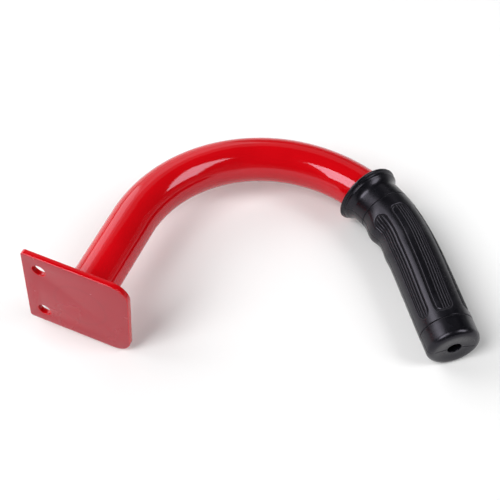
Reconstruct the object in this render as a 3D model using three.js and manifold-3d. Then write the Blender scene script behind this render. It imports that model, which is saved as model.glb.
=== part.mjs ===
// Curved handle of a fence post driver: a bent steel tube welded to a bolt-on plate,
// with a moulded rubber grip pushed over its free end. Sizes are in millimetres.
//
// The origin is on the plate's mounting face, on the axis of the tube. The face looks
// along -Y, the tube leaves the plate along +Y and bends towards +X in the plane Z = 0.

import * as THREE from 'three';
import { mergeVertices } from 'three/addons/utils/BufferGeometryUtils.js';
import Module from 'manifold-3d';

const wasm = await Module();
wasm.setup();

const FITTING_GAP = 0.3;
const SAME_POINT_DISTANCE = 1e-4;
const SHORTEST_SPLIT = 1e-6;

const PLATE_LENGTH = 75;
const PLATE_HEIGHT = 70;
const PLATE_THICKNESS = 4;
const PLATE_EDGE_BREAK = 0.5;
const PLATE_BOLT_CORNER_RADIUS = 2;
const PLATE_FREE_CORNER_RADIUS = 12;
const PLATE_BOLT_EDGE_TO_TUBE = 40;
const BOLT_EDGE_TO_HOLES = 12;
const BOLT_HOLE_SPACING = 44;
const BOLT_HOLE_RADIUS = 4.75;
const PLATE_ARC_STEPS = 8;

const TUBE_RADIUS = 15.875;
const TUBE_WALL = 2.5;
const TUBE_STRAIGHT = 73;
const BEND_RADIUS = 101.6;
const BEND_ANGLE = THREE.MathUtils.degToRad(143);
const BEND_STEP = THREE.MathUtils.degToRad(6);
const STEPS_ROUND_TUBE = 28;

const WELD_LEG = 5;
const WELD_BULGE = 0.8;
const WELD_ARC_STEPS = 4;

const GRIP_START = 269.7;
const GRIP_LENGTH = 141.3;
const GRIP_END_WALL = 5.5;
const GRIP_NECK_RADIUS = 18;
const GRIP_BODY_RADIUS = 18.6;
const GRIP_END_HOLE_RADIUS = 4.8;
const GRIP_END_ROUNDING = 4.2;
const GRIP_ARC_STEPS = 5;

const COLLAR_RADIUS = 23;
const COLLAR_LIP = 2.6;
const COLLAR_BEAD_RADIUS = 22;
const COLLAR_GROOVE_DEPTH = 1;
const COLLAR_LENGTH = 6.5;
const COLLAR_FLARE_LENGTH = 4.5;
const COLLAR_LEAN = 5.2;
const COLLAR_LEAN_REACH = 60;

const RING_GROOVE_DEPTH = 0.5;
const RING_GROOVE_WIDTH = 1.2;
const FRONT_RING_GROOVE = 291;
const REAR_RING_GROOVE = 396;

const FINGER_STOP_CENTRE = 305.5;
const FINGER_STOP_HEIGHT = 2.6;
const FINGER_STOP_RISE = 14;
const FINGER_STOP_FALL = 11;
const FINGER_STOP_EDGE_ANGLE = 128;
const FINGER_STOP_FULL_ANGLE = 165;

const FLUTE_START = 300.5;
const FLUTE_END = 390.5;
const FLUTE_WIDTH = 0.8;
const FLUTE_DEPTH = 0.7;
const FLUTE_STEPS = 8;
const FLUTE_BANDS = [
  { name: 'back', first: 18, last: 43, count: 5 },
  { name: 'side', first: 80.5, last: 98.5, count: 4 },
  { name: 'palm', first: 138, last: 151, count: 3 },
];

const RED_PAINT = { color: 0xc8050f, roughness: 0.3, metalness: 0.0 };
const BLACK_RUBBER = { color: 0x2a2a30, roughness: 0.55, metalness: 0.0 };

const BEND_LENGTH = BEND_RADIUS * BEND_ANGLE;
const BEND_END = TUBE_STRAIGHT + BEND_LENGTH;
const GRIP_END = GRIP_START + GRIP_LENGTH;
const TUBE_END = GRIP_END - GRIP_END_WALL - FITTING_GAP;

const handle = new THREE.Group();

// The handle's centre line in the plane Z = 0, measured from the back of the plate.
function centreLine(distance) {
  const bent = THREE.MathUtils.clamp(distance - TUBE_STRAIGHT, 0, BEND_LENGTH);
  const heading = bent / BEND_RADIUS;
  const ahead = new THREE.Vector2(Math.sin(heading), Math.cos(heading));
  const outward = new THREE.Vector2(-ahead.y, ahead.x);
  const beforeBend = Math.min(distance, TUBE_STRAIGHT);
  const afterBend = Math.max(distance - BEND_END, 0);
  const point = new THREE.Vector2(BEND_RADIUS, PLATE_THICKNESS + beforeBend);
  point.addScaledVector(outward, BEND_RADIUS);
  point.addScaledVector(ahead, afterBend);
  return { point, outward };
}

// Takes a shape that stands straight along +Y, with the outer side of the bend at +X,
// and lays it along the handle's centre line.
function layAlongHandle(geometry) {
  const position = geometry.getAttribute('position');
  for (let i = 0; i < position.count; i += 1) {
    const { point, outward } = centreLine(position.getY(i));
    point.addScaledVector(outward, position.getX(i));
    position.setXYZ(i, point.x, point.y, -position.getZ(i));
  }
  return geometry;
}

// Splits the long stretches of an outline, so that they can follow the bend.
function splitForBend(outline) {
  const longest = BEND_STEP * BEND_RADIUS;
  const points = [outline[0]];
  for (let i = 1; i < outline.length; i += 1) {
    const from = outline[i - 1];
    const to = outline[i];
    const low = Math.max(Math.min(from.y, to.y), TUBE_STRAIGHT);
    const high = Math.min(Math.max(from.y, to.y), BEND_END);
    const steps = Math.ceil(Math.max(high - low, 0) / longest);
    for (let step = 0; step <= steps; step += 1) {
      const rising = to.y > from.y ? step : steps - step;
      const height = low + ((high - low) * rising) / steps;
      const along = (height - from.y) / (to.y - from.y);
      const inside = along > SHORTEST_SPLIT && along < 1 - SHORTEST_SPLIT;
      if (steps > 0 && inside) points.push(from.clone().lerp(to, along));
    }
    points.push(to);
  }
  return points;
}

function arcPoints(centre, radius, fromAngle, toAngle, steps) {
  const points = [];
  for (let i = 0; i <= steps; i += 1) {
    const angle = THREE.MathUtils.degToRad(fromAngle + ((toAngle - fromAngle) * i) / steps);
    const x = centre.x + radius * Math.cos(angle);
    points.push(new THREE.Vector2(x, centre.y + radius * Math.sin(angle)));
  }
  return points;
}

// Turns a closed outline, with x the radius and y the distance along the handle.
function turned(outline) {
  const closed = splitForBend([...outline, outline[0].clone()]);
  return new THREE.LatheGeometry(closed, STEPS_ROUND_TUBE);
}

function weldedVertices(geometry) {
  geometry.deleteAttribute('normal');
  geometry.deleteAttribute('uv');
  return mergeVertices(geometry, SAME_POINT_DISTANCE);
}

function toSolid(geometry) {
  const merged = weldedVertices(geometry);
  const vertProperties = Float32Array.from(merged.getAttribute('position').array);
  const triVerts = Uint32Array.from(merged.getIndex().array);
  return new wasm.Manifold(new wasm.Mesh({ numProp: 3, vertProperties, triVerts }));
}

function toGeometry(solid) {
  const mesh = solid.getMesh();
  const geometry = new THREE.BufferGeometry();
  geometry.setAttribute('position', new THREE.BufferAttribute(mesh.vertProperties, 3));
  geometry.setIndex(new THREE.BufferAttribute(mesh.triVerts, 1));
  geometry.computeVertexNormals();
  return geometry;
}

function addPart(name, geometry, finish) {
  const part = new THREE.Mesh(geometry, new THREE.MeshStandardMaterial(finish));
  part.name = name;
  handle.add(part);
  return part;
}

// Flat steel plate, square at the bolted edge and rounded at the free edge.
function plateOutline() {
  const left = -PLATE_BOLT_EDGE_TO_TUBE;
  const right = left + PLATE_LENGTH;
  const top = PLATE_HEIGHT / 2;
  const small = PLATE_BOLT_CORNER_RADIUS;
  const large = PLATE_FREE_CORNER_RADIUS;
  const quarter = Math.PI / 2;
  const shape = new THREE.Shape();
  shape.absarc(right - large, top - large, large, 0, quarter);
  shape.absarc(left + small, top - small, small, quarter, 2 * quarter);
  shape.absarc(left + small, small - top, small, 2 * quarter, 3 * quarter);
  shape.absarc(right - large, large - top, large, 3 * quarter, 4 * quarter);
  shape.closePath();
  for (const side of [-1, 1]) {
    const hole = new THREE.Path();
    const height = (side * BOLT_HOLE_SPACING) / 2;
    hole.absarc(left + BOLT_EDGE_TO_HOLES, height, BOLT_HOLE_RADIUS, 0, 2 * Math.PI, true);
    shape.holes.push(hole);
  }
  return shape;
}

function buildPlate() {
  const geometry = new THREE.ExtrudeGeometry(plateOutline(), {
    depth: PLATE_THICKNESS - 2 * PLATE_EDGE_BREAK,
    curveSegments: PLATE_ARC_STEPS,
    bevelThickness: PLATE_EDGE_BREAK,
    bevelSize: PLATE_EDGE_BREAK,
    bevelOffset: -PLATE_EDGE_BREAK,
    bevelSegments: 1,
  });
  const plate = addPart('mounting_plate', weldedVertices(geometry), RED_PAINT);
  plate.rotation.x = Math.PI / 2;
  plate.position.y = PLATE_THICKNESS - PLATE_EDGE_BREAK;
}

// Round steel tube, open at both ends.
function buildTube() {
  const inside = TUBE_RADIUS - TUBE_WALL;
  const outline = [
    new THREE.Vector2(inside, FITTING_GAP),
    new THREE.Vector2(TUBE_RADIUS, FITTING_GAP),
    new THREE.Vector2(TUBE_RADIUS, TUBE_END),
    new THREE.Vector2(inside, TUBE_END),
  ];
  const geometry = layAlongHandle(weldedVertices(turned(outline)));
  addPart('handle_tube', geometry, RED_PAINT);
}

// Fillet weld that runs round the tube on the back of the plate.
function buildWeld() {
  const inside = TUBE_RADIUS + FITTING_GAP;
  const outline = [new THREE.Vector2(inside, FITTING_GAP)];
  for (let i = 0; i <= WELD_ARC_STEPS; i += 1) {
    const along = i / WELD_ARC_STEPS;
    const bulge = WELD_BULGE * Math.sin(Math.PI * along);
    const radius = inside + WELD_LEG * (1 - along) + bulge;
    outline.push(new THREE.Vector2(radius, FITTING_GAP + WELD_LEG * along + bulge));
  }
  const geometry = layAlongHandle(weldedVertices(turned(outline)));
  addPart('tube_weld', geometry, RED_PAINT);
}

function ringGroove(radius, distance) {
  const half = RING_GROOVE_WIDTH / 2;
  return [
    new THREE.Vector2(radius, distance - half),
    new THREE.Vector2(radius - RING_GROOVE_DEPTH, distance),
    new THREE.Vector2(radius, distance + half),
  ];
}

// Section of the grip: collar, neck, body, rounded end with its hole, and the bore.
function gripOutline() {
  const bore = TUBE_RADIUS + FITTING_GAP;
  const boreEnd = GRIP_END - GRIP_END_WALL;
  const lipBack = GRIP_START + COLLAR_LIP;
  const collarEnd = GRIP_START + COLLAR_LENGTH;
  const neckStart = collarEnd + COLLAR_FLARE_LENGTH;
  const flareMiddle = collarEnd + COLLAR_FLARE_LENGTH / 3;
  const grooveRadius = COLLAR_BEAD_RADIUS - COLLAR_GROOVE_DEPTH;
  const flareRadius = GRIP_NECK_RADIUS + (COLLAR_BEAD_RADIUS - GRIP_NECK_RADIUS) / 3;
  const endCorner = GRIP_BODY_RADIUS - GRIP_END_ROUNDING;
  const cornerCentre = new THREE.Vector2(endCorner, GRIP_END - GRIP_END_ROUNDING);
  const lipCentre = new THREE.Vector2(COLLAR_RADIUS - COLLAR_LIP / 2, GRIP_START + COLLAR_LIP / 2);
  return [
    new THREE.Vector2(bore, GRIP_START),
    ...arcPoints(lipCentre, COLLAR_LIP / 2, -90, 45, GRIP_ARC_STEPS),
    new THREE.Vector2(grooveRadius, lipBack + COLLAR_GROOVE_DEPTH / 2),
    new THREE.Vector2(COLLAR_BEAD_RADIUS, lipBack + 2 * COLLAR_GROOVE_DEPTH),
    new THREE.Vector2(COLLAR_BEAD_RADIUS, collarEnd - COLLAR_GROOVE_DEPTH),
    new THREE.Vector2(grooveRadius, collarEnd),
    new THREE.Vector2(flareRadius, flareMiddle),
    new THREE.Vector2(GRIP_NECK_RADIUS, neckStart),
    ...ringGroove(GRIP_NECK_RADIUS, FRONT_RING_GROOVE),
    new THREE.Vector2(GRIP_BODY_RADIUS, FLUTE_START),
    ...ringGroove(GRIP_BODY_RADIUS, REAR_RING_GROOVE),
    ...arcPoints(cornerCentre, GRIP_END_ROUNDING, 0, 90, GRIP_ARC_STEPS),
    new THREE.Vector2(GRIP_END_HOLE_RADIUS, GRIP_END),
    new THREE.Vector2(GRIP_END_HOLE_RADIUS, boreEnd),
    new THREE.Vector2(bore, boreEnd),
  ];
}

// Leans the collar back on the outer side and raises the stop for the first finger on
// the inner side. The bore stays round.
function mouldGrip(geometry) {
  const position = geometry.getAttribute('position');
  for (let i = 0; i < position.count; i += 1) {
    const across = position.getX(i);
    const up = position.getZ(i);
    const distance = position.getY(i);
    const radius = Math.hypot(across, up);
    const outside = radius > TUBE_RADIUS + 2 * FITTING_GAP;
    const fade = THREE.MathUtils.clamp(1 - (distance - GRIP_START) / COLLAR_LEAN_REACH, 0, 1);
    const lean = (COLLAR_LEAN * fade * across) / COLLAR_RADIUS;
    const reach = distance < FINGER_STOP_CENTRE ? FINGER_STOP_RISE : FINGER_STOP_FALL;
    const offset = Math.min(Math.abs(distance - FINGER_STOP_CENTRE) / reach, 1);
    const angle = THREE.MathUtils.radToDeg(Math.atan2(Math.abs(up), across));
    const width = THREE.MathUtils.smoothstep(angle, FINGER_STOP_EDGE_ANGLE, FINGER_STOP_FULL_ANGLE);
    const stop = FINGER_STOP_HEIGHT * width * Math.cos((offset * Math.PI) / 2) ** 2;
    const growth = outside ? (radius + stop) / radius : 1;
    position.setXYZ(i, across * growth, distance + lean, up * growth);
  }
  return geometry;
}

// One flute: a narrow bar that follows the grip at an angle from the outer side.
function fluteBar(angle, length, middle) {
  const height = 2 * (FINGER_STOP_HEIGHT + FLUTE_DEPTH);
  const bar = new THREE.BoxGeometry(height, length, FLUTE_WIDTH, 1, FLUTE_STEPS, 1);
  bar.translate(GRIP_BODY_RADIUS - FLUTE_DEPTH + height / 2, middle, 0);
  bar.rotateY(angle);
  return toSolid(layAlongHandle(bar));
}

function buildGrip() {
  let grip = toSolid(layAlongHandle(mouldGrip(weldedVertices(turned(gripOutline())))));
  const length = FLUTE_END - FLUTE_START;
  const middle = (FLUTE_END + FLUTE_START) / 2;
  for (const band of FLUTE_BANDS) {
    for (let i = 0; i < band.count; i += 1) {
      const degrees = band.first + ((band.last - band.first) * i) / (band.count - 1);
      const angle = THREE.MathUtils.degToRad(degrees);
      grip = grip.subtract(fluteBar(angle, length, middle));
      grip = grip.subtract(fluteBar(-angle, length, middle));
    }
  }
  addPart('hand_grip', toGeometry(grip), BLACK_RUBBER);
}

buildPlate();
buildTube();
buildWeld();
buildGrip();

export default handle;
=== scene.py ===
# The bolt-on handle of a fence post driver: a bent steel tube welded to a flat plate,
# powder-coated red, with a moulded rubber grip pushed over its free end.
# All lengths are in metres, unless a name ends in _MM or a comment says otherwise.

import math

import bmesh
import bpy
import numpy as np
from mathutils import Matrix, Vector


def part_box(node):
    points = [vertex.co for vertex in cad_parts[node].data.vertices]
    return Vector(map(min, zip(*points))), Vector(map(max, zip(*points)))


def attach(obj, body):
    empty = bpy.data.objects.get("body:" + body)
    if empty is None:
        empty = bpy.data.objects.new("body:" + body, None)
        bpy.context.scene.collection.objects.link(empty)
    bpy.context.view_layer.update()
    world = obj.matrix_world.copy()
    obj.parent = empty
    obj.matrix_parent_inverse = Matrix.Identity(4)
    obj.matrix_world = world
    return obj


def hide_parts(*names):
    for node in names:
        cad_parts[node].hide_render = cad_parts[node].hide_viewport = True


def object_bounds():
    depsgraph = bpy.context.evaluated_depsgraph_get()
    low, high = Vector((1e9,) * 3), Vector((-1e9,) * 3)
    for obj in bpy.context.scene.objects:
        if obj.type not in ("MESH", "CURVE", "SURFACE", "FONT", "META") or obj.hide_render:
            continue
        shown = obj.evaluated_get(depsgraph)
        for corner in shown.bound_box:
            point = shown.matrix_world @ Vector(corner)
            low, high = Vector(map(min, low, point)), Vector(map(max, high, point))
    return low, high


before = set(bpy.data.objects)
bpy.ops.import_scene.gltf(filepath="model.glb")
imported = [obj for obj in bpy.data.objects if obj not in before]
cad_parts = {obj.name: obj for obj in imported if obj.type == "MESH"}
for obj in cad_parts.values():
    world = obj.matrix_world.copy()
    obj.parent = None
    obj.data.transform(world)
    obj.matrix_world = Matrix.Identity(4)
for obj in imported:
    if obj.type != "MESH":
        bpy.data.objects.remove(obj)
cad_low, cad_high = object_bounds()


# Camera ---------------------------------------------------------------------------
# A portrait lens from about 0.7 m in front and above, with the handle lying on the
# bench. The handle leans on the bench, so the camera has a little roll against it.

CAMERA_AZIMUTH = math.radians(17.449)
CAMERA_ELEVATION = math.radians(52.638)
CAMERA_ROLL = math.radians(6.101)
CAMERA_DISTANCE = 0.7075
CAMERA_AIM = Vector((0.08583, 0.07900, 0.01351))
CAMERA_LENS_MM = 76.53
FULL_FRAME_MM = 36.0

towards_camera = Vector((
    math.sin(CAMERA_AZIMUTH) * math.cos(CAMERA_ELEVATION),
    -math.cos(CAMERA_AZIMUTH) * math.cos(CAMERA_ELEVATION),
    math.sin(CAMERA_ELEVATION),
))
camera = bpy.data.objects.new("camera", bpy.data.cameras.new("camera"))
camera.data.lens = CAMERA_LENS_MM
camera.data.sensor_width = FULL_FRAME_MM
camera.data.clip_start = 0.01
camera.data.clip_end = 20.0
camera.location = CAMERA_AIM + CAMERA_DISTANCE * towards_camera
upright = (-towards_camera).to_track_quat("-Z", "Y").to_matrix().to_4x4()
rolled = upright @ Matrix.Rotation(CAMERA_ROLL, 4, "Z")
camera.rotation_euler = rolled.to_euler()
bpy.context.scene.collection.objects.link(camera)
bpy.context.scene.camera = camera


# Mounting plate -------------------------------------------------------------------
# The piece that bolts to the driver: 4 mm mild steel plate, cut square at the bolted
# edge and rounded at the free one, with two punched holes. Its arrises are broken
# before coating. Its front face is rougher, and painted a darker red as painted shade,
# with a faint ring of painted shade over the weld on its back.

MM = 0.001
plate_low, plate_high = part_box("mounting_plate")
PLATE_THICKNESS = plate_high.y - plate_low.y
PLATE_HEIGHT = plate_high.z - plate_low.z
PLATE_ARRIS = 0.55 * MM
ARRIS_STEPS = 4
BOLT_CORNER_RADIUS = 2.2 * MM
FREE_CORNER_RADIUS = 12 * MM
CORNER_STEPS = 14
HOLE_RADIUS = 4.75 * MM
HOLE_INSET = 12 * MM
HOLE_SPACING = 44 * MM
HOLE_STEPS = 56
SHARP_EDGE = math.radians(28)
SAME_POINT = 0.001 * MM
FRONT_FACING = -0.999

COAT_REDS = ("#BB0109", "#C3020C")
COAT_ROUGHNESS = (0.06, 0.1)
# the plate's front face: a rougher copy of the coat, whose darker reds are painted shade
FRONT_FACE_SHADED_REDS = ("#A00D19", "#A5111E")
FRONT_FACE_ROUGHNESS = (0.2, 0.3)
COAT_IOR = 1.5
# slow clouds where the coat is thicker, and the true size of its orange peel, with a
# finer ripple on top of the peel and this share of its height
CLOUD_MM = 28
PEEL_MM = 1.7
FINE_PEEL_MM = 0.6
FINE_PEEL_SHARE = 0.3
PEEL_DEPTH = 0.045 * MM
# a faint ring of painted shade on the plate's front, round the weld on its back
PAINTED_WELD_SHADE = "#6E0812"
WELD_SHADE_RADIUS_MM = 18.5
WELD_SHADE_HALF_WIDTH_MM = 2.2
WELD_SHADE_STRENGTH = 0.12
# painted light: coat and rubber reflect a little more blue than red, for the lamps' cool
# colour
PAINTED_COOL_LAMP_TINT = "#F2ECFF"
# a noise texture's values lie mostly between these two
NOISE_LOW, NOISE_HIGH = 0.3, 0.7
# the Mix node's sockets share their names, so they go by number
COLOUR_A, COLOUR_B, COLOUR_OUT = 6, 7, 2


def srgb(code):
    """A colour given as sRGB hex, in linear light."""
    parts = [int(code[i:i + 2], 16) / 255 for i in (1, 3, 5)]
    linear = [c / 12.92 if c <= 0.04045 else ((c + 0.055) / 1.055) ** 2.4 for c in parts]
    return (*linear, 1.0)


def add_node(tree, kind, settings=None, links=None):
    """One node: settings go to its sockets or properties, and links feed its sockets."""
    node = tree.nodes.new(kind)
    for name, value in (settings or {}).items():
        if isinstance(name, int) or name in node.inputs:
            node.inputs[name].default_value = value
        else:
            setattr(node, name, value)
    for name, source in (links or {}).items():
        tree.links.new(source, node.inputs[name])
    return node


def new_material(name):
    """An empty node material, and its tree to build the finish in."""
    material = bpy.data.materials.new(name)
    material.use_nodes = True
    material.node_tree.nodes.clear()
    return material, material.node_tree


def powder_coat_red(name, reds, roughness, weld_shade_ring=False):
    """Polyester powder coat on mild steel: sprayed as dust and baked, so it flows out
    to a gloss skin with a very shallow orange peel. That gives the eye a deep red with
    highlights whose edges look slightly torn. The copy for the plate's front face is
    rougher, and its darker red is painted shade; round the weld behind that face it
    can add a ring of painted shade, just darker than the rest."""
    material, tree = new_material(name)
    place = add_node(tree, "ShaderNodeTexCoord").outputs["Object"]
    cloud = add_node(tree, "ShaderNodeTexNoise",
                     {"Scale": 1 / (CLOUD_MM * MM), "Detail": 3.0, "Roughness": 0.5},
                     {"Vector": place})
    tone = add_node(tree, "ShaderNodeMapRange",
                    {"From Min": NOISE_LOW, "From Max": NOISE_HIGH},
                    {"Value": cloud.outputs["Fac"]})
    red = add_node(tree, "ShaderNodeMix",
                   {"data_type": "RGBA", COLOUR_A: srgb(reds[0]), COLOUR_B: srgb(reds[1])},
                   {0: tone.outputs["Result"]})
    colour = red.outputs[COLOUR_OUT]
    # painted shade: a ring just darker than the rest, round the weld behind the plate
    if weld_shade_ring:
        across = add_node(tree, "ShaderNodeVectorMath",
                          {"operation": "MULTIPLY", 1: (1 / MM, 0.0, 1 / MM)}, {0: place})
        distance = add_node(tree, "ShaderNodeVectorMath", {"operation": "LENGTH"},
                            {0: across.outputs["Vector"]})
        off = add_node(tree, "ShaderNodeMath",
                       {"operation": "SUBTRACT", 1: WELD_SHADE_RADIUS_MM},
                       {0: distance.outputs["Value"]})
        away = add_node(tree, "ShaderNodeMath", {"operation": "ABSOLUTE"},
                        {0: off.outputs["Value"]})
        ring = add_node(tree, "ShaderNodeMapRange",
                        {"interpolation_type": "SMOOTHSTEP",
                         "From Min": 0.0, "From Max": WELD_SHADE_HALF_WIDTH_MM,
                         "To Min": WELD_SHADE_STRENGTH, "To Max": 0.0},
                        {"Value": away.outputs["Value"]})
        weld_shaded = add_node(tree, "ShaderNodeMix",
                          {"data_type": "RGBA", COLOUR_B: srgb(PAINTED_WELD_SHADE)},
                          {0: ring.outputs["Result"], COLOUR_A: colour})
        colour = weld_shaded.outputs[COLOUR_OUT]
    peel = add_node(tree, "ShaderNodeTexNoise",
                    {"Scale": 1 / (PEEL_MM * MM), "Detail": 1.0, "Roughness": 0.4},
                    {"Vector": place})
    fine = add_node(tree, "ShaderNodeTexNoise",
                    {"Scale": 1 / (FINE_PEEL_MM * MM), "Detail": 2.0, "Roughness": 0.5},
                    {"Vector": place})
    height = add_node(tree, "ShaderNodeMath",
                      {"operation": "MULTIPLY_ADD", 1: FINE_PEEL_SHARE},
                      {0: fine.outputs["Fac"], 2: peel.outputs["Fac"]})
    bump = add_node(tree, "ShaderNodeBump", {"Strength": 0.4, "Distance": PEEL_DEPTH},
                    {"Height": height.outputs["Value"]})
    gloss = add_node(tree, "ShaderNodeMapRange",
                     {"To Min": roughness[0], "To Max": roughness[1]},
                     {"Value": tone.outputs["Result"]})
    # painted light: the specular colour gives the coat's reflections the lamps' cool cast
    shader = add_node(tree, "ShaderNodeBsdfPrincipled",
                      {"IOR": COAT_IOR, "Specular Tint": srgb(PAINTED_COOL_LAMP_TINT)},
                      {"Base Color": colour, "Roughness": gloss.outputs["Result"],
                       "Normal": bump.outputs["Normal"]})
    add_node(tree, "ShaderNodeOutputMaterial", None, {"Surface": shader.outputs["BSDF"]})
    return material


def plate_outline():
    """Anticlockwise round the plate, seen from its front, from the free edge's top."""
    right, left, top = plate_high.x, plate_low.x, PLATE_HEIGHT / 2
    free, bolted = FREE_CORNER_RADIUS, BOLT_CORNER_RADIUS
    corners = [
        (right - free, top - free, free, 0),
        (left + bolted, top - bolted, bolted, 90),
        (left + bolted, bolted - top, bolted, 180),
        (right - free, free - top, free, 270),
    ]
    points = []
    for x, z, radius, start in corners:
        for i in range(CORNER_STEPS + 1):
            turn = math.radians(start + 90 * i / CORNER_STEPS)
            points.append((x + radius * math.cos(turn), z + radius * math.sin(turn)))
    return points


def hole_outline(side):
    """One bolt hole's edge, run the other way round from the plate's outline."""
    x = plate_low.x + HOLE_INSET
    z = side * HOLE_SPACING / 2
    turns = [-2 * math.pi * i / HOLE_STEPS for i in range(HOLE_STEPS)]
    return [(x + HOLE_RADIUS * math.cos(t), z + HOLE_RADIUS * math.sin(t)) for t in turns]


def plate_mesh():
    """Cuts the outline and its holes as one flat curve with rounded arrises."""
    curve = bpy.data.curves.new("plate_cut", "CURVE")
    curve.dimensions = "2D"
    curve.fill_mode = "BOTH"
    curve.extrude = PLATE_THICKNESS / 2 - PLATE_ARRIS
    curve.bevel_depth = PLATE_ARRIS
    curve.bevel_resolution = ARRIS_STEPS
    curve.offset = -PLATE_ARRIS
    for points in (plate_outline(), hole_outline(-1), hole_outline(1)):
        spline = curve.splines.new("POLY")
        spline.points.add(len(points) - 1)
        for point, (x, z) in zip(spline.points, points):
            point.co = (x, z, 0.0, 1.0)
        spline.use_cyclic_u = True
    cutter = bpy.data.objects.new("plate_cut", curve)
    bpy.context.scene.collection.objects.link(cutter)
    mesh = bpy.data.meshes.new_from_object(cutter.evaluated_get(
        bpy.context.evaluated_depsgraph_get()))
    bpy.data.objects.remove(cutter)
    stand_up = Matrix.Rotation(math.radians(90), 4, "X")
    middle = Matrix.Translation((0.0, (plate_low.y + plate_high.y) / 2, 0.0))
    mesh.transform(middle @ stand_up)
    work = bmesh.new()
    work.from_mesh(mesh)
    bmesh.ops.remove_doubles(work, verts=work.verts, dist=SAME_POINT)
    bmesh.ops.recalc_face_normals(work, faces=work.faces)
    for face in work.faces:
        face.smooth = True
    for edge in work.edges:
        edge.smooth = edge.calc_face_angle(0.0) < SHARP_EDGE
    work.to_mesh(mesh)
    work.free()
    return mesh


def link_piece(name, mesh, material, slot, *nodes):
    """Puts a finished mesh in the scene as a piece that stands for its CAD nodes."""
    piece = bpy.data.objects.new(name, mesh)
    piece.data.materials.append(material)
    bpy.context.scene.collection.objects.link(piece)
    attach(piece, "root")
    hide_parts(*nodes)
    return piece


steel_finish = powder_coat_red("red_powder_coat", COAT_REDS, COAT_ROUGHNESS)
# the plate's front face: rougher, with a darker red and a ring round the weld, both painted
# shade
front_face_shaded_finish = powder_coat_red("front_face_shaded_red_powder_coat", FRONT_FACE_SHADED_REDS, FRONT_FACE_ROUGHNESS,
                                weld_shade_ring=True)
mounting_plate = link_piece("plate", plate_mesh(), steel_finish, "red_powder_coat",
                            "mounting_plate")
# faces looking straight out of the plate's front take the copy with painted shade
mounting_plate.data.materials.append(front_face_shaded_finish)
for face in mounting_plate.data.polygons:
    if face.normal.y < FRONT_FACING:
        face.material_index = 1


# Bent tube ------------------------------------------------------------------------
# 1-1/4 in round steel tube with a 2.5 mm wall, bent cold round a 4 in former to 143
# degrees, and powder-coated with the plate. Only its outside shows, because its free
# end is under the grip.

tube_low, tube_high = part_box("handle_tube")
TUBE_RADIUS = tube_high.z
TUBE_WALL = 2.5 * MM
FIT_GAP = tube_low.y - plate_high.y
TUBE_STRAIGHT = 73 * MM
BEND_RADIUS = tube_high.y - plate_high.y - TUBE_STRAIGHT - TUBE_RADIUS
BEND_ANGLE = math.radians(143)
BEND_END = TUBE_STRAIGHT + BEND_RADIUS * BEND_ANGLE
# the grip's ends, measured along the tube's centre line from the plate's back
GRIP_START = 269.7 * MM
GRIP_END = 411 * MM
GRIP_END_WALL = 5.5 * MM
TUBE_END = GRIP_END - GRIP_END_WALL - FIT_GAP
TUBE_ROW_STEP = 2 * MM
TUBE_COLUMNS = 128


def lay_along(distance, radius, angle):
    """Points on rings round the handle's centre line. distance is measured from the
    plate's back, and angle from the outer side of the bend towards +Z."""
    bent = np.clip(distance - TUBE_STRAIGHT, 0.0, BEND_RADIUS * BEND_ANGLE) / BEND_RADIUS
    ahead_x, ahead_y = np.sin(bent), np.cos(bent)
    out_x, out_y = -ahead_y, ahead_x
    straight = np.minimum(distance, TUBE_STRAIGHT)
    rest = np.maximum(distance - BEND_END, 0.0)
    across = radius * np.cos(angle)
    x = BEND_RADIUS * (1 + out_x) + rest * ahead_x + across * out_x
    y = plate_high.y + straight + BEND_RADIUS * out_y + rest * ahead_y + across * out_y
    return np.stack([x, y, radius * np.sin(angle)], axis=-1)


def ring_mesh(name, distance, radius, angle):
    """A closed skin over a grid of rings: rows go round the section, columns round
    the tube, and both ways join up."""
    rows, columns = radius.shape
    points = lay_along(distance, radius, angle).reshape(-1, 3)
    corner = np.arange(rows * columns).reshape(rows, columns)
    below = np.roll(corner, -1, axis=0)
    quads = np.stack([corner, np.roll(corner, -1, axis=1),
                      np.roll(below, -1, axis=1), below], axis=-1).reshape(-1, 4)
    mesh = bpy.data.meshes.new(name)
    mesh.from_pydata(points.tolist(), [], quads.tolist())
    work = bmesh.new()
    work.from_mesh(mesh)
    bmesh.ops.recalc_face_normals(work, faces=work.faces)
    for face in work.faces:
        face.smooth = True
    work.to_mesh(mesh)
    work.free()
    return mesh


def full_turn(columns):
    """The angle of each column of a ring."""
    return np.linspace(0, 2 * math.pi, columns, endpoint=False)


def tube_grid():
    """The tube's wall: out along the skin and back along the bore."""
    stations = np.append(np.arange(FIT_GAP, TUBE_END, TUBE_ROW_STEP), TUBE_END)
    there_and_back = np.concatenate([stations, stations[::-1]])
    radii = np.repeat([TUBE_RADIUS, TUBE_RADIUS - TUBE_WALL], len(stations))
    grid = np.zeros((len(radii), TUBE_COLUMNS))
    return (grid + there_and_back[:, None], grid + radii[:, None],
            grid + full_turn(TUBE_COLUMNS))


bent_tube = link_piece("bent_tube", ring_mesh("tube", *tube_grid()), steel_finish,
                       "red_powder_coat", "handle_tube")


# Weld bead ------------------------------------------------------------------------
# MIG fillet run once round the tube on the back of the plate. Each pause of the gun
# leaves a crescent, about 2 mm apart, softened by the powder coat over it.

weld_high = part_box("tube_weld")[1]
WELD_INNER = TUBE_RADIUS + 0.05 * MM
WELD_ROOT = 0.1 * MM
WELD_CROWN = 0.75 * MM
CROWN_ROOM = 0.8 * MM
WELD_LEG = weld_high.z - TUBE_RADIUS - CROWN_ROOM
RIPPLES = 58
RIPPLE_HEIGHT = 0.16 * MM
RIPPLE_LAG = 0.55
# how far the gun wanders, how many times round the tube, and from where
WANDERS = ((0.25 * MM, 3, 1.1), (0.15 * MM, 7, 0.4))
# the face slopes at 45 degrees, so this share of a height on it goes out from the tube,
# and as much along it
FACE_SLOPE = 0.7
WELD_COLUMNS = 8 * RIPPLES
WELD_ROWS = 18


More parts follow.
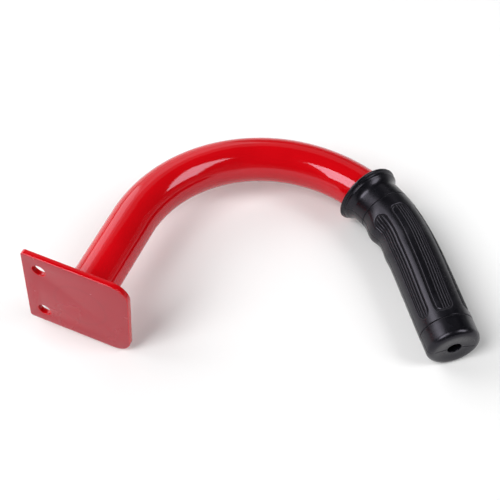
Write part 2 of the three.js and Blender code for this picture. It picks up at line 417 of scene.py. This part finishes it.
def weld_grid():
    """A convex fillet whose crescents trail back from its middle."""
    turn = full_turn(WELD_COLUMNS)
    along = np.linspace(0, 1, WELD_ROWS)[:, None]
    leg = WELD_LEG + sum(size * np.sin(times * turn + start)
                         for size, times, start in WANDERS)
    crown = np.sin(math.pi * along)
    wave = 0.5 + 0.5 * np.cos(RIPPLES * turn + 2 * math.pi * RIPPLE_LAG * crown)
    raised = (WELD_CROWN + RIPPLE_HEIGHT * wave) * crown * FACE_SLOPE
    radius = WELD_INNER + leg * (1 - along) + raised
    distance = WELD_ROOT + leg * along + raised
    heel = np.ones((1, WELD_COLUMNS))
    return (np.vstack([distance, WELD_ROOT * heel]), np.vstack([radius, WELD_INNER * heel]),
            np.repeat(turn[None, :], WELD_ROWS + 1, axis=0))


link_piece("weld_bead", ring_mesh("weld", *weld_grid()), steel_finish, "red_powder_coat",
           "tube_weld")


# Hand grip ------------------------------------------------------------------------
# One-piece moulded rubber grip, made in a two-part mould that opens across the bend
# plane, and pushed on wet over the tube. It has a thick collar against the thumb, a
# stop for the first finger, ribbed panels with smooth bands between them, and a
# closed end with one round hole that lets the air out.

BORE_RADIUS = TUBE_RADIUS + 0.05 * MM
BORE_ROW_STEP = 4 * MM
BORE_MOUTH = 1 * MM

# the body, whose inner side is the one inside the bend
NECK_OUTER, NECK_INNER = 17.75 * MM, 18.9 * MM
BARREL_OUTER, BARREL_INNER = 18.75 * MM, 18.5 * MM
NECK_TO_BARREL = (314 * MM, 342 * MM)
OUTER_TAPER = 0.3 * MM
TAPER_OVER = (360 * MM, 404 * MM)
END_BAND_RADIUS = 18.35 * MM
END_BAND_RISE = (396 * MM, 399 * MM)
FINGER_STOP_HEIGHT = 2.5 * MM
FINGER_STOP_RISE = (291 * MM, 305.5 * MM)
FINGER_STOP_FALL = (306.5 * MM, 316.5 * MM)
FINGER_STOP_SIDE = (math.radians(126), math.radians(163))
PALM_HEEL = 329 * MM
PALM_HEEL_HEIGHT = 0.55 * MM
PALM_HEEL_REACH = 6 * MM

LIP_RADIUS = 23.0 * MM
LIP_THICKNESS = 2.6 * MM
LIP_STEPS = 10
LIP_FACE_ROWS = 5
LIP_BACK = 0.8
BEAD_RADIUS = 21.9 * MM
BEAD_OUTER_RISE = 0.5 * MM
LIP_GROOVE_BEHIND = 0.7 * MM
LIP_GROOVE_DEPTH = 1.6 * MM
LIP_GROOVE_HALF_WIDTH = 0.95 * MM
COLLAR_LENGTH = 4.2 * MM
FLARE_LENGTH = 7.2 * MM
FLARE_HOLLOW = 2.2
COLLAR_LEAN = 5.2 * MM
LEAN_REACH = 60 * MM

RING_GROOVES = (291 * MM, 396 * MM)
RING_GROOVE_DEPTH = 0.7 * MM
RING_HALF_WIDTH = 0.27 * MM
RING_REACH = 0.8 * MM
RING_ROWS = 13
PARTING_DEPTH = 0.22 * MM
PARTING_HALF_WIDTH = 0.3 * MM

MEAN_RADIUS = 18.6 * MM
PANEL_START = 300.5 * MM
PANEL_END = 390.5 * MM
PANEL_SINK = 0.3 * MM
PANEL_SLOPE = 0.7 * MM
BORDER_DEPTH = 0.7 * MM
BORDER_HALF_WIDTH = 0.48 * MM
BORDER_INSET = 0.35 * MM
FLUTE_DEPTH = 0.85 * MM
FLUTE_HALF_WIDTH = 0.4 * MM
FLUTE_FADE = (0.6 * MM, 1.8 * MM)
# first and last angle of the panel, and of its flutes, in degrees from the outer side
# of the bend, how many flutes, and the radius of the panel's corners
PANELS = {
    "back": (12.0, 48.5, 18.0, 43.0, 5, 4.5 * MM),
    "side": (75.0, 113.5, 80.5, 98.5, 4, 4.5 * MM),
    "palm": (128.0, 157.0, 138.0, 151.0, 3, 6.0 * MM),
}
PANEL_DRIFT = math.radians(4.5)
DRIFT_OVER = (345 * MM, 386 * MM)

END_ROUNDING = 4.2 * MM
END_STEPS = 16
END_FACE_ROWS = 21
END_DISH = 0.8 * MM
END_SEAM_DEPTH = 0.25 * MM
END_SEAM_HALF_WIDTH = 0.3 * MM
END_HOLE_RADIUS = 4.8 * MM
END_HOLE_ARRIS = 0.4 * MM
END_HOLE_ROWS = 5

GRIP_COLUMNS = 600
ROW_STEP = 0.55 * MM
# rows are kept to whole hundredths of a millimetre, so that no two nearly coincide
ROW_DIGITS = 5


def blend_over(value, start, end):
    """0 before start, 1 after end, and a smooth rise between them."""
    part = np.clip((value - start) / (end - start), 0.0, 1.0)
    return part * part * (3 - 2 * part)


def notch(off, half_width):
    """A rounded groove's depth across its width, 1 in the middle."""
    return np.exp(-(off / half_width) ** 2)


def fold_angle(angle):
    """The angle from the outer side of the bend, 0 to pi, alike on both mould halves."""
    return np.abs((angle + math.pi) % (2 * math.pi) - math.pi)


def body_radius(distance, turned):
    """The bare grip: neck, swelling and finger stop, before panels and grooves."""
    inner = 0.5 - 0.5 * np.cos(turned)
    neck = NECK_OUTER + (NECK_INNER - NECK_OUTER) * inner
    barrel = BARREL_OUTER + (BARREL_INNER - BARREL_OUTER) * inner
    swell = neck + (barrel - neck) * blend_over(distance, *NECK_TO_BARREL)
    heel = PALM_HEEL_HEIGHT * notch(distance - PALM_HEEL, PALM_HEEL_REACH) * inner
    taper = OUTER_TAPER * blend_over(distance, *TAPER_OVER) * (1 - inner)
    rise = blend_over(distance, *FINGER_STOP_RISE)
    fall = 1 - blend_over(distance, *FINGER_STOP_FALL)
    side = blend_over(turned, *FINGER_STOP_SIDE)
    stop = FINGER_STOP_HEIGHT * np.minimum(rise, fall) * side
    return swell + heel - taper + stop


def collar_radius(distance, turned, plain):
    """Rounded front lip, the groove behind it, a low bead, and the fall to the neck."""
    from_lip = distance - GRIP_START
    half = LIP_THICKNESS / 2
    inside_lip = np.clip(1 - ((from_lip - half) / half) ** 2, 0.0, 1.0)
    lip = LIP_RADIUS - half + half * np.sqrt(inside_lip)
    groove = notch(from_lip - LIP_THICKNESS - LIP_GROOVE_BEHIND, LIP_GROOVE_HALF_WIDTH)
    outer = 0.5 + 0.5 * np.cos(turned)
    bead = BEAD_RADIUS + BEAD_OUTER_RISE * outer - LIP_GROOVE_DEPTH * groove
    along = np.clip((from_lip - COLLAR_LENGTH) / FLARE_LENGTH, 0.0, 1.0)
    flare = bead + (plain - bead) * (1 - (1 - along) ** FLARE_HOLLOW)
    on_lip = from_lip <= LIP_THICKNESS * LIP_BACK
    return np.where(on_lip, lip, np.maximum(flare, plain))


def panel_edge(distance, turned, first, last, corner):
    """Distance outside a panel's rounded outline; it is negative inside."""
    half_length = (PANEL_END - PANEL_START) / 2
    half_width = math.radians(last - first) / 2 * MEAN_RADIUS
    middle = math.radians(first + last) / 2
    along = np.abs(distance - (PANEL_START + PANEL_END) / 2) - (half_length - corner)
    across = np.abs(turned - middle) * MEAN_RADIUS - (half_width - corner)
    round_corner = np.hypot(np.maximum(along, 0), np.maximum(across, 0))
    return round_corner + np.minimum(np.maximum(along, across), 0) - corner


def moulded_marks(distance, turned):
    """How far the panels sink below the skin, and how far the narrow grooves are cut."""
    sunk = np.zeros_like(distance)
    cut = np.zeros_like(distance)
    drift = PANEL_DRIFT * blend_over(distance, *DRIFT_OVER)
    drifted = turned - drift * np.sin(turned)
    for first, last, first_flute, last_flute, flutes, corner in PANELS.values():
        edge = panel_edge(distance, drifted, first, last, corner)
        sunk += PANEL_SINK * blend_over(-edge, 0.0, PANEL_SLOPE)
        cut += BORDER_DEPTH * notch(edge + BORDER_INSET, BORDER_HALF_WIDTH)
        inside = blend_over(-edge, *FLUTE_FADE)
        for degrees in np.linspace(first_flute, last_flute, flutes):
            off = (drifted - math.radians(degrees)) * MEAN_RADIUS
            cut += inside * FLUTE_DEPTH * notch(off, FLUTE_HALF_WIDTH)
    for ring in RING_GROOVES:
        cut += RING_GROOVE_DEPTH * notch(distance - ring, RING_HALF_WIDTH)
    parting = np.minimum(turned, math.pi - turned) * MEAN_RADIUS
    cut += PARTING_DEPTH * notch(parting, PARTING_HALF_WIDTH)
    return sunk, cut


def grip_skin_radius(distance, turned):
    """The whole moulded outside, up to where the end is rounded over."""
    body = body_radius(distance, turned)
    body = body + (END_BAND_RADIUS - body) * blend_over(distance, *END_BAND_RISE)
    in_collar = distance < GRIP_START + COLLAR_LENGTH + FLARE_LENGTH
    body = np.where(in_collar, collar_radius(distance, turned, body), body)
    sunk, cut = moulded_marks(distance, turned)
    return body - sunk - cut


def quarter_turn(steps):
    """Angles over a quarter of a circle, without the first, which the last row holds."""
    return [0.5 * math.pi * step / steps for step in range(1, steps + 1)]


def bore_rows():
    """From the closed end along the bore, and out over the front of the lip."""
    stations = np.arange(GRIP_END - GRIP_END_WALL, GRIP_START + BORE_MOUTH, -BORE_ROW_STEP)
    rows = [(station, BORE_RADIUS) for station in stations]
    rows.append((GRIP_START + 0.5 * MM, BORE_RADIUS + 0.1 * MM))
    rows.append((GRIP_START, BORE_RADIUS + 0.8 * MM))
    face = (BORE_RADIUS + 2 * MM, LIP_RADIUS - LIP_THICKNESS / 2)
    return rows + [(GRIP_START, radius) for radius in np.linspace(*face, LIP_FACE_ROWS)]


def skin_rows(turned):
    """Round the lip and along the outside, with closer rows across the ring grooves."""
    half_lip = LIP_THICKNESS / 2
    round_lip = [GRIP_START + half_lip * (1 - math.cos(turn_in))
                 for turn_in in quarter_turn(LIP_STEPS)[:-1]]
    start, end = GRIP_START + half_lip, GRIP_END - END_ROUNDING
    stations = [np.linspace(start, end, int((end - start) / ROW_STEP))]
    for ring in RING_GROOVES:
        stations.append(ring + np.linspace(-RING_REACH, RING_REACH, RING_ROWS))
    along = np.unique(np.concatenate(stations).round(ROW_DIGITS))
    return [(station, grip_skin_radius(np.full(GRIP_COLUMNS, station), turned))
            for station in [*round_lip, *along]]


def end_rows(turn, turned):
    """Over the rounded end, across its dished face with the mould's seam, and in
    through the hole to the bore."""
    start = GRIP_END - END_ROUNDING
    edge = grip_skin_radius(np.full(GRIP_COLUMNS, start), turned)
    rows = [(start + END_ROUNDING * math.sin(turn_in),
             edge - END_ROUNDING * (1 - math.cos(turn_in)))
            for turn_in in quarter_turn(END_STEPS)]
    face_edge = edge - END_ROUNDING
    for part in np.linspace(0, 1, END_FACE_ROWS + 1)[1:]:
        radius = face_edge + (END_HOLE_RADIUS + END_HOLE_ARRIS - face_edge) * part
        seam = END_SEAM_DEPTH * notch(np.sin(turn) * radius, END_SEAM_HALF_WIDTH)
        rows.append((GRIP_END - END_DISH * blend_over(part, 0.0, 1.0) - seam, radius))
    mouth = GRIP_END - END_DISH
    for turn_in in quarter_turn(END_HOLE_ROWS):
        rows.append((mouth - END_HOLE_ARRIS * (1 - math.cos(turn_in)),
                     END_HOLE_RADIUS + END_HOLE_ARRIS * (1 - math.sin(turn_in))))
    inner_wall = GRIP_END - GRIP_END_WALL
    for station in np.linspace(mouth - END_HOLE_ARRIS, inner_wall, END_HOLE_ROWS + 1)[1:]:
        rows.append((station, END_HOLE_RADIUS))
    for radius in np.linspace(END_HOLE_RADIUS, BORE_RADIUS, END_HOLE_ROWS + 1)[1:-1]:
        rows.append((inner_wall, radius))
    return rows


def grip_grid():
    """The grip's whole skin, leant at the collar, and how deep its grooves are cut."""
    turn = full_turn(GRIP_COLUMNS)
    turned = fold_angle(turn)
    rows = bore_rows() + skin_rows(turned) + end_rows(turn, turned)
    distance = np.array([np.broadcast_to(row[0], turn.shape) for row in rows])
    radius = np.array([np.broadcast_to(row[1], turn.shape) for row in rows])
    angle = np.repeat(turn[None, :], len(rows), axis=0)
    fade = np.clip(1 - (distance - GRIP_START) / LEAN_REACH, 0.0, 1.0)
    lean = COLLAR_LEAN * fade * (radius / LIP_RADIUS) * np.cos(angle)
    cut = moulded_marks(distance, fold_angle(angle))[1]
    return (distance + lean, radius, angle), cut


RUBBER_BLACKS = ("#060609", "#0D0D11")
# painted shade: the near black that the grooves are darkened to
GROOVE_PAINTED_SHADE = "#030304"
RUBBER_ROUGHNESS = (0.22, 0.32)
GROOVE_ROUGHNESS = 0.85
RUBBER_IOR = 1.42
# clouds of wax bloom at their true size; the mould's grain is about 0.1 mm, and is
# drawn coarser here so that it shows
BLOOM_MM = 12.0
GRAIN_MM = 0.4
GRAIN_DEPTH = 0.04 * MM
# rubber cut deeper than the first is turning into a groove, and is one at the second
GROOVE_DEPTHS_MM = (0.2, 0.45)
NUMBER_A, NUMBER_B, NUMBER_OUT = 2, 3, 0


def moulded_rubber_black(name):
    """Black SBR rubber from a steel mould: a satin skin with a fine spark-eroded grain,
    dull in the grooves and darkened there with painted shade. Its reflections carry a
    faint violet cast, painted light for the lamps' cool colour. It gives the eye a
    near-black surface with soft grey bands instead of highlights."""
    material, tree = new_material(name)
    place = add_node(tree, "ShaderNodeTexCoord").outputs["Object"]
    bloom = add_node(tree, "ShaderNodeTexNoise",
                     {"Scale": 1 / (BLOOM_MM * MM), "Detail": 5.0, "Roughness": 0.6},
                     {"Vector": place})
    tone = add_node(tree, "ShaderNodeMapRange",
                    {"From Min": NOISE_LOW, "From Max": NOISE_HIGH},
                    {"Value": bloom.outputs["Fac"]})
    black = add_node(tree, "ShaderNodeMix",
                     {"data_type": "RGBA", COLOUR_A: srgb(RUBBER_BLACKS[0]),
                      COLOUR_B: srgb(RUBBER_BLACKS[1])},
                     {0: tone.outputs["Result"]})
    depth = add_node(tree, "ShaderNodeAttribute", {"attribute_name": "cut_depth_mm"})
    groove = add_node(tree, "ShaderNodeMapRange",
                      {"From Min": GROOVE_DEPTHS_MM[0], "From Max": GROOVE_DEPTHS_MM[1]},
                      {"Value": depth.outputs["Fac"]})
    # painted shade: the colour darkens towards near black down in the grooves
    tint = add_node(tree, "ShaderNodeMix",
                    {"data_type": "RGBA", COLOUR_B: srgb(GROOVE_PAINTED_SHADE)},
                    {0: groove.outputs["Result"], COLOUR_A: black.outputs[COLOUR_OUT]})
    satin = add_node(tree, "ShaderNodeMapRange",
                     {"To Min": RUBBER_ROUGHNESS[0], "To Max": RUBBER_ROUGHNESS[1]},
                     {"Value": tone.outputs["Result"]})
    dulled = add_node(tree, "ShaderNodeMix",
                      {"data_type": "FLOAT", NUMBER_B: GROOVE_ROUGHNESS},
                      {0: groove.outputs["Result"], NUMBER_A: satin.outputs["Result"]})
    grain = add_node(tree, "ShaderNodeTexNoise",
                     {"Scale": 1 / (GRAIN_MM * MM), "Detail": 2.0, "Roughness": 0.6},
                     {"Vector": place})
    bump = add_node(tree, "ShaderNodeBump", {"Strength": 0.3, "Distance": GRAIN_DEPTH},
                    {"Height": grain.outputs["Fac"]})
    # painted light: the specular colour gives the rubber's reflections the lamps' cool cast
    shader = add_node(tree, "ShaderNodeBsdfPrincipled",
                      {"IOR": RUBBER_IOR, "Specular Tint": srgb(PAINTED_COOL_LAMP_TINT)},
                      {"Base Color": tint.outputs[COLOUR_OUT],
                       "Roughness": dulled.outputs[NUMBER_OUT],
                       "Normal": bump.outputs["Normal"]})
    add_node(tree, "ShaderNodeOutputMaterial", None, {"Surface": shader.outputs["BSDF"]})
    return material


rubber = moulded_rubber_black("black_moulded_rubber")
grip_rings, groove_depth = grip_grid()
grip_skin = ring_mesh("grip", *grip_rings)
cut_marks = grip_skin.attributes.new("cut_depth_mm", "FLOAT", "POINT")
cut_marks.data.foreach_set("value", (groove_depth / MM).ravel())
rubber_grip = link_piece("rubber_grip", grip_skin, rubber, "black_rubber", "hand_grip")


# Bench and light ------------------------------------------------------------------
# The handle lies as it would on a bench: on the plate's lower edge, the collar and
# the end of the grip. The bench is one wide sheet of pale matt card that turns up far
# away, in a dim studio with three softboxes and three wide, weak screens.

BENCH_RISE_X = 0.078
BENCH_RISE_Y = 0.016
BENCH_SIZE = 16.0
BENCH_CELLS = 64
BENCH_TURN_UP = 2.4
STUDIO_BRIGHTNESS = 0.06
LIGHT_DISTANCE = 4.0
# heading from +Y towards +X and height above the bench in degrees, angular width and
# height in degrees, and brightness against white card
SOFT_LIGHTS = {
    "front_softbox": (-146, 46, 27, 38, 8.0),
    "side_softbox": (84, 50, 23, 34, 6.0),
    "left_softbox": (-96, 36, 26, 26, 2.8),
    "left_screen": (-74, 24, 50, 32, 1.7),
    "left_glow": (-68, 26, 84, 44, 0.7),
    "back_screen": (-20, 40, 36, 30, 0.35),
}

bench_up = Vector((-BENCH_RISE_X, -BENCH_RISE_Y, 1.0)).normalized()
lowest = min(
    bench_up.dot(vertex.co)
    for piece in (mounting_plate, bent_tube, rubber_grip)
    for vertex in piece.data.vertices
)
bench_mesh = bpy.data.meshes.new("bench")
work = bmesh.new()
bmesh.ops.create_grid(work, x_segments=BENCH_CELLS, y_segments=BENCH_CELLS,
                      size=BENCH_SIZE / 2)
for vertex in work.verts:
    out = vertex.co.xy.length / (BENCH_SIZE / 2)
    vertex.co.z = BENCH_TURN_UP * out ** 4
for face in work.faces:
    face.smooth = True
work.to_mesh(bench_mesh)
work.free()
bench = bpy.data.objects.new("bench", bench_mesh)
bench.rotation_euler = bench_up.to_track_quat("Z", "Y").to_euler()
bench.location = bench_up * lowest
bpy.context.scene.collection.objects.link(bench)

card, card_tree = new_material("pale_card")
card_shader = add_node(card_tree, "ShaderNodeBsdfPrincipled",
                       {"Base Color": srgb("#E9E9E9"), "Roughness": 0.9})
add_node(card_tree, "ShaderNodeOutputMaterial", None,
         {"Surface": card_shader.outputs["BSDF"]})
bench.data.materials.append(card)

studio = bpy.data.worlds.new("dim_studio")
studio.use_nodes = True
surroundings = studio.node_tree.nodes["Background"]
surroundings.inputs["Color"].default_value = srgb("#FFFFFF")
surroundings.inputs["Strength"].default_value = STUDIO_BRIGHTNESS
bpy.context.scene.world = studio
bpy.context.scene.view_settings.view_transform = "Standard"


def soft_light(name, heading, height, wide, tall, brightness):
    """A rectangular softbox at its place round the handle, facing it."""
    heading, height = math.radians(heading), math.radians(height)
    direction = Vector((math.sin(heading) * math.cos(height),
                        math.cos(heading) * math.cos(height), math.sin(height)))
    lamp = bpy.data.lights.new(name, "AREA")
    lamp.shape = "RECTANGLE"
    lamp.size = 2 * LIGHT_DISTANCE * math.tan(math.radians(wide / 2))
    lamp.size_y = 2 * LIGHT_DISTANCE * math.tan(math.radians(tall / 2))
    lamp.energy = brightness * math.pi * lamp.size * lamp.size_y
    light = bpy.data.objects.new(name, lamp)
    light.location = (cad_low + cad_high) / 2 + LIGHT_DISTANCE * direction
    light.rotation_euler = (-direction).to_track_quat("-Z", "Y").to_euler()
    light.visible_camera = False
    bpy.context.scene.collection.objects.link(light)


for light_name, light_place in SOFT_LIGHTS.items():
    soft_light(light_name, *light_place)
